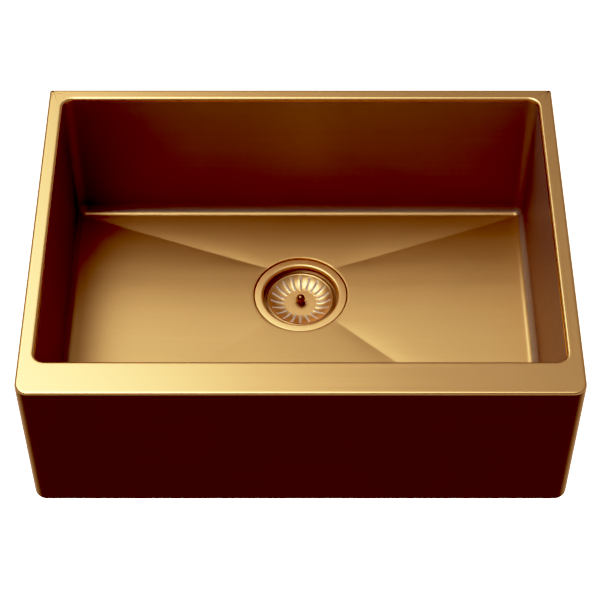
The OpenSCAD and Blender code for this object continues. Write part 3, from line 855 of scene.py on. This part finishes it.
@dataclass
class Strainer:
    """Strainer cup, lift-out basket, and plug with its knob.

    Heights are measured from the floor's upper face at the drain. Each slot has a
    raised lip on either side, given as places from the slot and the rise at each.
    """

    mouth_r: float = 45.5 * MM
    roll_r: float = 3.4 * MM
    cup_t: float = 1.0 * MM
    cup_r: float = 41 * MM
    ledge: float = 10 * MM
    flange_t: float = 1.8 * MM
    flange_rise: float = 3.0 * MM
    hub_depth: float = 17 * MM
    hub_r: float = 19.5 * MM
    dish_rim_r: float = 39.6 * MM
    basket_t: float = 1.0 * MM
    slots: int = 20
    slot_w: float = 0.4 * MM
    slot_start_r: float = 20.6 * MM
    slot_end_r: float = 36.8 * MM
    lip_places: tuple[float, ...] = (0.0, 0.25 * MM, 0.5 * MM, 0.8 * MM, 1.1 * MM)
    lip_rises: tuple[float, ...] = (0.22 * MM, 0.42 * MM, 0.42 * MM, 0.2 * MM, 0.0)
    lip_faces: int = 3
    flat_columns: int = 3
    bead_r: float = 0.9 * MM
    boss_r: float = 8 * MM
    stem_hole_r: float = 4.45 * MM
    drain_hole_r: float = 2.5 * MM
    screw_hole_r: float = 4.3 * MM
    gap: float = 0.1 * MM
    knob_r: float = 5.35 * MM
    knob_rise: float = 8.5 * MM
    neck_r: float = 3.9 * MM

    def build(self, finish: bpy.types.Material, wear_and_highlight: bpy.types.Material,
              shaded: bpy.types.Material, knob_painted_reflection: bpy.types.Material) -> None:
        """Builds cup, basket and knob.

        Args:
            finish: The polished faces.
            wear_and_highlight: The slots' lips, pale as a painted highlight.
            shaded: Darker copy of the polished gold, painted shade on the inside of the cup and on the
                basket's outer ring and bead.
            knob_painted_reflection: The knob, a much darker copy of the polished gold as a painted dark
                reflection.
        """
        self._cup(finish, shaded)
        self._basket(finish, wear_and_highlight, shaded)
        self._knob(knob_painted_reflection)

    def _cup(self, finish: bpy.types.Material, shaded: bpy.types.Material) -> None:
        """Cup with rolled mouth, ledge and pierced floor."""
        flange_r = CUP_HIGH.x
        depth = DRAIN.z - CUP_LOW.z - self.cup_t
        top = -self.flange_rise + self.flange_t
        roll_x, roll_z = self.mouth_r + self.roll_r, top - self.roll_r
        t = self.cup_t
        under_r = self.roll_r - t
        inside = [(roll_x - self.roll_r * s, roll_z + self.roll_r * c) for c, s in quarter(10)]
        outside = [(roll_x - under_r * c, roll_z + under_r * s) for c, s in quarter(8)]
        lower = [
            (self.mouth_r, -self.ledge), (self.cup_r, -self.ledge), (self.cup_r, -depth),
            (0.0, -depth), (0.0, -depth - t), (self.cup_r + t, -depth - t),
            (self.cup_r + t, -self.ledge - t), (self.mouth_r + t, -self.ledge - t),
        ]
        flange = [(roll_x, -self.flange_rise), (flange_r, -self.flange_rise),
                  (flange_r, top), (roll_x, top)]
        # The flange's two ends lie on the roll, so only the corners between them stay.
        lip = softened(flange, [0, 0.3 * MM, 0.9 * MM, 0], 5)[1:-1]
        low = softened(lower, [0.8 * MM, 0.8 * MM, 3 * MM, 0, 0, 3 * MM, 0.6 * MM, 0.6 * MM])
        profile = inside + low + outside + lip
        cup = revolve("strainer_cup_shell", list(reversed(profile)), DRAIN, finish, 160)
        self._pierce(cup, depth)
        # Painted shade: the inside of the cup below the roll takes the darker copy of the gold.
        cup.data.materials.append(shaded)
        middle_r = self.mouth_r + 0.5 * t
        for polygon in cup.data.polygons:
            place = polygon.center - DRAIN
            if place.z < roll_z and place.xy.length < middle_r:
                polygon.material_index = 1
        settle(cup, SINK_BODY, "gold_polished", "strainer_cup")

    def _pierce(self, cup: bpy.types.Object, depth: float) -> None:
        """Cuts the drain holes and the screw hole through the cup's floor."""
        hole_r = self.drain_hole_r
        outer_r, inner_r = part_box("stopper")[1].x - 3 * hole_r, self.boss_r + 3 * hole_r
        cutter = MeshDraft("drain_cutter")
        holes = [(r * math.cos(2 * math.pi * i / n), r * math.sin(2 * math.pi * i / n), hole_r)
                 for n, r in ((18, outer_r), (10, inner_r)) for i in range(n)]
        for x, y, radius in [*holes, (0.0, 0.0, self.screw_hole_r)]:
            rows = [cutter.row((x + radius * math.cos(a), DRAIN.y + y + radius * math.sin(a), z)
                               for a in (2 * math.pi * k / 24 for k in range(24)))
                    for z in (DRAIN.z - depth - 4 * MM, DRAIN.z - depth + 2 * MM)]
            cutter.bridge(rows[0], rows[1])
            cutter.cap(list(reversed(rows[0])))
            cutter.cap(rows[1])
        tool = cutter.build([])
        cut = cup.modifiers.new("holes", "BOOLEAN")
        cut.object, cut.operation, cut.solver = tool, "DIFFERENCE", "EXACT"
        freeze(cup)
        bpy.data.objects.remove(tool)

    def _dish_height(self, radius: float) -> float:
        """Height of the basket's upper face at a radius."""
        top = -self.ledge + self.gap + self.basket_t
        run, rise = self.dish_rim_r - self.hub_r, self.hub_depth + top
        arc = (run * run + rise * rise) / (2 * rise)
        if radius <= self.hub_r:
            return -self.hub_depth
        if radius >= self.dish_rim_r:
            return top
        return -self.hub_depth + arc - math.sqrt(arc * arc - (radius - self.hub_r) ** 2)

    def _slotted(self, radius: float) -> bool:
        """Whether the slots reach a radius."""
        close = 1e-9
        return self.slot_start_r - close <= radius <= self.slot_end_r + close

    def _dish_row(self, radius: float) -> list[Point]:
        """Points round the dish at a radius, the same ones from each slot to the next."""
        pitch = 2 * math.pi / self.slots
        half = self.slot_w / 2 / radius
        edges = [half + place / radius for place in self.lip_places]
        flat = pitch - 2 * edges[-1]
        free = [edges[-1] + flat * k / (self.flat_columns + 1) for k in range(1, self.flat_columns + 1)]
        angles = edges + free + [pitch - edge for edge in reversed(edges)]
        rises = [*self.lip_rises, *[0.0] * self.flat_columns, *reversed(self.lip_rises)]
        level = DRAIN.z + self._dish_height(radius)
        points = []
        for i in range(self.slots):
            for angle, rise in zip(angles, rises):
                a = math.pi / 2 + i * pitch + angle
                z = level + (rise if self._slotted(radius) else 0.0)
                points.append((radius * math.cos(a), DRAIN.y + radius * math.sin(a), z))
        return points

    def _basket(self, finish: bpy.types.Material, wear_and_highlight: bpy.types.Material,
                shaded: bpy.types.Material) -> None:
        """Basket: hub plate and slotted dish in one, with its bead and its boss."""
        rim_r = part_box("basket")[1].x
        self._dish(rim_r, finish, wear_and_highlight, shaded)
        bead_z = -self.ledge + self.gap + self.bead_r
        bead = [(rim_r - self.bead_r + self.bead_r * math.cos(a), bead_z + self.bead_r * math.sin(a))
                for a in (2 * math.pi * k / 16 for k in range(16))]
        # Painted shade: the bead is in the darker copy of the gold.
        settle(revolve("basket_bead", bead, DRAIN, shaded), "strainer", "gold_polished")
        low, high = -20 * MM, -18 * MM
        boss = [(self.stem_hole_r, low), (self.boss_r, low), (self.boss_r, high), (self.stem_hole_r, high)]
        settle(revolve("basket_boss", softened(boss, [0, 0.5 * MM, 0, 0]), DRAIN, finish, 64),
               "strainer", "gold_polished")

    def _dish(self, rim_r: float, finish: bpy.types.Material, wear_and_highlight: bpy.types.Material,
              shaded: bpy.types.Material) -> None:
        """Hub plate and dish, open along the slots and with their lips raised."""
        slot_run = self.slot_end_r - self.slot_start_r
        radii = [self.stem_hole_r, 5 * MM, 12 * MM, self.hub_r - 0.6 * MM, self.hub_r, self.hub_r + 0.4 * MM]
        radii += [self.slot_start_r + slot_run * k / 12 for k in range(13)]
        radii += [37.5 * MM, 38.6 * MM, self.dish_rim_r, self.dish_rim_r + 0.5 * MM, rim_r - 1.4 * MM]
        draft = MeshDraft("basket_shell")
        rows = [draft.row(self._dish_row(radius)) for radius in radii]
        count = len(rows[0])
        per_slot = count // self.slots
        for (r0, first), (r1, second) in zip(zip(radii, rows), zip(radii[1:], rows[1:])):
            slotted = self._slotted(r0) and self._slotted(r1)
            # Painted shade: the ring outside the dish takes the darker copy of the gold.
            ring = r0 > self.dish_rim_r - 1e-9
            for i in range(count):
                column, j = i % per_slot, (i + 1) % count
                if slotted and column == per_slot - 1:
                    continue
                # Painted highlight: the lips' faces take the pale material.
                lip = slotted and not self.lip_faces <= column < per_slot - 1 - self.lip_faces
                draft.faces.append((first[i], second[i], second[j], first[j]))
                draft.slots.append(2 if ring else int(lip))
        dish = draft.build([finish, wear_and_highlight, shaded])
        thick = dish.modifiers.new("sheet", "SOLIDIFY")
        thick.thickness, thick.offset = self.basket_t, -1.0
        thick.material_offset_rim = 0
        freeze(dish)
        settle(dish, "strainer", "gold_polished", "basket")

    def _knob(self, finish: bpy.types.Material) -> None:
        """Knob: ball that runs into a waisted neck with a small foot."""
        waist_r = self.neck_r * 0.86
        ball_z = -self.hub_depth + self.knob_rise
        foot_z = -self.hub_depth + self.gap
        meet = math.asin(min(1.0, 0.92 * self.neck_r / self.knob_r))
        ball = [(self.knob_r * math.sin(a), ball_z - self.knob_r * math.cos(a))
                for a in (meet + (math.pi - meet) * k / 24 for k in range(25))]
        neck = [(0.0, foot_z), (self.neck_r - 0.3 * MM, foot_z), (self.neck_r, foot_z + 0.3 * MM),
                (self.neck_r, foot_z + 0.9 * MM), (waist_r, foot_z + 1.6 * MM),
                (self.neck_r * 0.84, foot_z + 2.6 * MM)]
        settle(revolve("knob_ball", neck + ball, DRAIN, finish, 64), "plug", "gold_polished", "knob")


# ------------------------------------------------------------ waste and fixings


@dataclass
class Waste:
    """Plastic housing and outlet below the bowl."""

    housing_r: float = 47.9 * MM
    outlet_r: float = 23.9 * MM
    outlet_h: float = 24 * MM
    wall: float = 2.8 * MM
    flange_t: float = 3.4 * MM
    thread_pitch: float = 2.31 * MM
    thread_depth: float = 1.1 * MM
    thread_turns: int = 7
    thread_crest: float = 0.15 * MM

    def build(self, plastic: bpy.types.Material) -> None:
        """Builds housing and outlet; the spider keeps its CAD shape."""
        low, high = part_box("waste_housing")
        top, bottom = high.z - DRAIN.z, low.z - DRAIN.z
        inner_r, outer_r, flange_r = self.housing_r, self.housing_r + self.wall, high.x
        flange_z = top - self.flange_t
        outline = [(inner_r, bottom), (outer_r, bottom), (outer_r, flange_z),
                   (flange_r, flange_z), (flange_r, top), (inner_r, top)]
        housing = revolve("housing_shell", softened(outline, [0, 0, 1.5 * MM, 1 * MM, 0.6 * MM, 0]),
                          DRAIN, plastic)
        settle(housing, SINK_BODY, "white_plastic", "waste_housing")
        self._outlet(plastic, bottom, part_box("waste_outlet")[0].z - DRAIN.z)

    def _outlet(self, plastic: bpy.types.Material, top: float, bottom: float) -> None:
        """Funnel and threaded outlet."""
        bore_r, root_r = self.outlet_r - self.wall, self.outlet_r - self.thread_depth
        crest_r = self.outlet_r - self.thread_crest
        neck = bottom + self.outlet_h
        outer = [(self.housing_r + self.wall, top), (self.outlet_r + 0.6 * MM, neck + 0.8 * MM),
                 (self.outlet_r, neck - 0.6 * MM)]
        z = neck - 2.5 * MM
        for _ in range(self.thread_turns):
            outer += [(root_r, z), (crest_r, z - 0.45 * self.thread_pitch),
                      (crest_r, z - 0.6 * self.thread_pitch)]
            z -= self.thread_pitch
        outer += [(root_r, z), (root_r, bottom + 0.5 * MM), (root_r - 0.5 * MM, bottom)]
        inner = [(bore_r, bottom), (bore_r, neck), (self.housing_r, top)]
        outlet = revolve("outlet_shell", list(reversed(outer + inner)), DRAIN, plastic)
        settle(outlet, SINK_BODY, "white_plastic", "waste_outlet")


@dataclass
class Fixings:
    """Pieces that keep their CAD shape: rails, brackets, pads, gaskets and small metal.

    Edges that turn by more than the sharp angle are rounded a little.
    """

    edge: float = 0.35 * MM
    sharp: float = math.radians(40)

    def dress(self, finishes: dict[str, bpy.types.Material]) -> None:
        """Gives each carried-over node its finish and a slightly rounded edge.

        Args:
            finishes: Material by the record's material slot.
        """
        replaced = {n for o in bpy.context.scene.objects for n in list(o.get("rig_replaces", []))}
        slots = {row["node"]: row["material_slot"] for row in frame["record"]["subparts"]}
        for name, node in frame["nodes"].items():
            if name in replaced:
                continue
            node.data.materials.clear()
            node.data.materials.append(finishes[slots[name]])
            for polygon in node.data.polygons:
                polygon.material_index = 0
            bevel = node.modifiers.new("edge", "BEVEL")
            bevel.width, bevel.segments = self.edge, 2
            bevel.limit_method, bevel.angle_limit = "ANGLE", self.sharp
            bevel.harden_normals = False


# ---------------------------------------------------------------------- studio


@dataclass(frozen=True)
class Studio:
    """Backdrop, soft light dome, camera and print tones.

    The camera stands ahead of the apron and above the rim. The tones have a black
    level per channel, and a shoulder that starts at the given level of light.
    """

    floor_level: float = -0.33
    reach: float = 30.0
    lens: float = 108.9
    pitch: float = math.radians(51.083)
    camera_x: float = -0.00066
    camera_ahead: float = 1.110
    camera_above: float = 1.5308
    black: Point = (0.053, 0.061, 0.030)
    shoulder: float = 0.19
    brightest: float = 2.0

    def build(self) -> None:
        """Sets up backdrop, dome, camera and tones."""
        self._backdrop()
        self._dome()
        self._camera()
        view = bpy.context.scene.view_settings
        view.view_transform = "Standard"
        view.look = "None"
        view.use_curve_mapping = True
        self._print_tones(view.curve_mapping)

    def _print_tones(self, mapping: bpy.types.CurveMapping) -> None:
        """Deep shadows and a soft shoulder, as a colour print has.

        Args:
            mapping: The view's curves, which take levels above 1 as well.
        """
        mapping.black_level = self.black
        mapping.white_level = tuple(self.brightest - (self.brightest - 1) * level for level in self.black)
        combined = mapping.curves[3].points
        for place in (0.1, 0.175, 0.25, 0.4, 0.6, 0.8):
            combined.new(place, self._toned(place))
        mapping.update()

    def _toned(self, place: float) -> float:
        """Printed tone of a light level, both as shares of the brightest."""
        room = 1.0 - self.shoulder

        def rolled(level: float) -> float:
            over = level * self.brightest - self.shoulder
            return self.shoulder + room * math.tanh(over / room)

        return rolled(place) / rolled(1.0)

    def _backdrop(self) -> None:
        """Pale floor, walls and ceiling that glow evenly and are clear from outside."""
        draft = MeshDraft("studio_floor")
        hole_r = self.reach * 0.02
        rows = [draft.row((radius * math.cos(a), radius * math.sin(a), z)
                          for a in (2 * math.pi * k / 48 for k in range(48)))
                for radius, z in ((self.reach, self.floor_level), (self.reach, self.reach),
                                  (hole_r, self.reach))]
        draft.cap(rows[0])
        draft.bridge(rows[1], rows[0])
        draft.bridge(rows[2], rows[1])
        material, r = new_material("studio_floor")
        paper = r.make("ShaderNodeEmission", {}, {"Color": (1.0, 1.0, 1.0, 1.0), "Strength": 3.0})
        clear = r.make("ShaderNodeBsdfTransparent")
        outside = r.make("ShaderNodeNewGeometry", output="Backfacing")
        mixed = r.make("ShaderNodeMixShader", {}, {0: outside, 1: paper, 2: clear})
        r.make("ShaderNodeOutputMaterial", {}, {"Surface": mixed})
        backdrop = draft.build([material])
        backdrop.visible_glossy = backdrop.visible_diffuse = backdrop.visible_shadow = False

    def _dome(self) -> None:
        """World light by direction.

        Over the back half it rises with height, with a lift high up at the back left
        that lights the floor, walls and deck. Overhead is a crown with a small lamp in
        it, and soft sides lie near the horizon. A dim light ahead reaches the apron,
        and one from below reaches the underside.
        """
        world = bpy.data.worlds.new("studio")
        world.use_nodes = True
        bpy.context.scene.world = world
        r = Recipe(world.node_tree)
        across, depth, height = r.axes(r.make("ShaderNodeTexCoord", output="Generated"))
        behind = (depth * 1.8 + 1.0).held()
        even = (height * 0.36 - 0.07).held()
        crown = (height * 3.0 - 2.2).held() * 0.15
        glow = (0.38 - across * 7.5).held(0.0, 1.75)
        lift = (height * 6.0 - 3.75).held(0.0, 1.25) * (across * 4.0 + 2.0).held()
        lamp = ((height * 0.97 - across * 0.22 + depth * 0.1) * 12.0 - 11.0).held() * 3.0
        low = (0.75 - height * 1.5).held() * (height * 3.0 + 1.6).held()
        edges = across * across * 1.6 + (depth - 0.3).held() * 0.6 + 0.12
        sides = edges.held() * low * 0.4
        facing = (depth * -1.5 - 0.3).held()
        ahead = facing * (1.1 - height * 1.9).held() * (height * 4.0 + 0.6).held() * 0.5
        under = (depth * 1.5 + 0.4).held() * (0.3 - height * 2.0).held() * 0.5
        light = behind * (even + lift * glow * glow) + crown + lamp + sides + ahead + under + 0.115
        background = r.make("ShaderNodeBackground", {}, {"Color": (1.0, 1.0, 1.0, 1.0), "Strength": light})
        r.make("ShaderNodeOutputWorld", {}, {"Surface": background})

    def _camera(self) -> None:
        """Camera in front of and above the sink."""
        data = bpy.data.cameras.new("camera")
        data.lens = self.lens
        camera = bpy.data.objects.new("camera", data)
        camera.location = (self.camera_x, APRON_LOW.y - self.camera_ahead, RIM_HIGH.z + self.camera_above)
        camera.rotation_euler = (math.pi / 2 - self.pitch, 0.0, 0.0)
        bpy.context.scene.collection.objects.link(camera)
        bpy.context.scene.camera = camera


# ------------------------------------------------------------------------ main


def sink_coats_and_painted_shade() -> list[bpy.types.Material]:
    """Makes the coats of the sink's faces, with painted shade on floor, walls and apron.

    Returns:
        For each Face in turn, the coat brushed along X and the one brushed along Y.
    """
    # Painted shade: the floor is a darker copy of the deck's gold.
    floor = BrushedGold("floor", Grain.ALONG_X, (0.75, 0.47, 0.18), (0.70, 0.435, 0.165),
                        metal=0.78, gloss=0.2, rough=0.35, rough_swing=0.12)
    # Painted shade: the walls are a much darker copy of the deck's gold, with a darker edge tint, less metal
    # and little gloss.
    wall = BrushedGold("wall", Grain.ALONG_X, (0.51, 0.375, 0.215), (0.47, 0.345, 0.20),
                       (0.3, 0.22, 0.15), metal=0.5, side_metal=0.4, gloss=0.05, rough=0.42)
    deck = BrushedGold("deck", Grain.ALONG_X, rough=0.24)
    # Painted shade: the apron is a darker copy of the deck's gold.
    apron = BrushedGold("apron", Grain.ALONG_X, (0.74, 0.45, 0.175), (0.70, 0.42, 0.16))
    coats = []
    for coat in (floor, wall, deck, apron):
        turned = replace(coat, grain=Grain.ALONG_Y, metal=coat.side_metal or coat.metal)
        coats += [coat.material(), turned.material()]
    return coats


def main() -> None:
    """Builds the studio and the sink."""
    logging.basicConfig(level=logging.INFO, format="%(message)s")
    Studio().build()
    gold = sink_coats_and_painted_shade()
    polished = PolishedGold("gold_polished").material()
    # Painted reflection: the knob is a much darker copy of the polished gold, for the dark reflection that it
    # shows.
    knob = PolishedGold("gold_knob_painted_reflection", (0.34, 0.20, 0.08), (0.30, 0.18, 0.07), 1.0, 0.42).material()
    # Painted highlight: pale, barely metal gold for the slots' lips.
    wear_and_highlight = PolishedGold("slot_lip_painted_highlight", (1.0, 0.87, 0.70), (1.0, 0.84, 0.66), 0.1, 0.45).material()
    # Painted shade: a darker copy of the polished gold.
    shaded = PolishedGold("cup_painted_shade", (0.42, 0.26, 0.105), (0.38, 0.235, 0.095), rough=0.34).material()
    plastic = MouldedPlastic().material()
    pad = SoftBlack("bitumen_pad", (0.02, 0.02, 0.022), (0.05, 0.05, 0.055), 700.0, 0.75, 0.0003)
    rubber = SoftBlack("black_rubber", (0.012, 0.012, 0.012), (0.03, 0.03, 0.03), 1500.0, 0.5, 0.0001)
    SinkShell().build(gold)
    Strainer().build(polished, wear_and_highlight, shaded, knob)
    Waste().build(plastic)
    Fixings().dress({
        # The carried-over gold steel nodes take the wall's coat, with its painted shade.
        "gold_steel": gold[Face.WALL.value],
        "gold_polished": polished,
        "zinc_steel": ZincPlate().material(),
        "sound_pad": pad.material(),
        "black_rubber": rubber.material(),
        "white_plastic": plastic,
        "brass": TurnedBrass().material(),
    })


if __name__ == "__main__":
    main()
